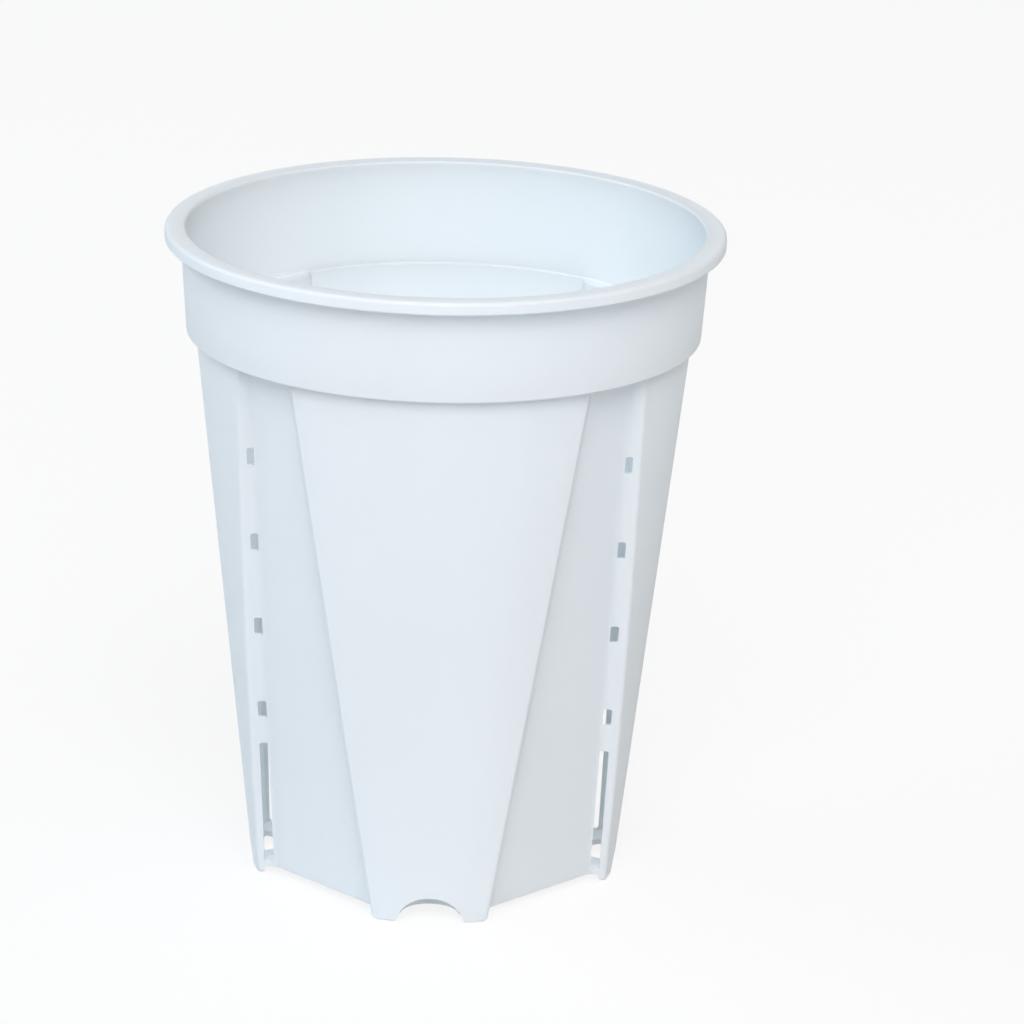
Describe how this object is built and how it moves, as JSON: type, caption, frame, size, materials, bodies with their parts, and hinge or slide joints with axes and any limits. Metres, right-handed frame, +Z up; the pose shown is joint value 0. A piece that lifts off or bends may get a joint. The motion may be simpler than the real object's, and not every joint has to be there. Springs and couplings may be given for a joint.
{
  "type": "orchid pot",
  "caption": "Tapered white plant pot with a wide collar, rolled rim, four recessed flat corners with air slots beside them, and arched feet for drainage.",
  "frame": {"origin": "centre of the pot's footprint, on the ground between the feet", "axes": "+Z up along the pot's axis, -Y towards the front panel, +X towards the right panel"},
  "size_m": [0.15, 0.15, 0.18],
  "materials": {
    "white_plastic": "fine satin texture as moulded, slightly cool white"
  },
  "bodies": {
    "root": {"back_left_facet": "white_plastic", "back_panel_left_slot_wall": "white_plastic", "back_panel_right_slot_wall": "white_plastic", "back_right_facet": "white_plastic", "back_wall_panel": "white_plastic", "base_floor": "white_plastic", "collar_band": "white_plastic", "front_left_facet": "white_plastic", "front_panel_left_slot_wall": "white_plastic", "front_panel_right_slot_wall": "white_plastic", "front_right_facet": "white_plastic", "front_wall_panel": "white_plastic", "left_panel_back_slot_wall": "white_plastic", "left_panel_front_slot_wall": "white_plastic", "left_wall_panel": "white_plastic", "right_panel_back_slot_wall": "white_plastic", "right_panel_front_slot_wall": "white_plastic", "right_wall_panel": "white_plastic", "rim_flange": "white_plastic", "shoulder_ring": "white_plastic"}
  },
  "joints": []
}
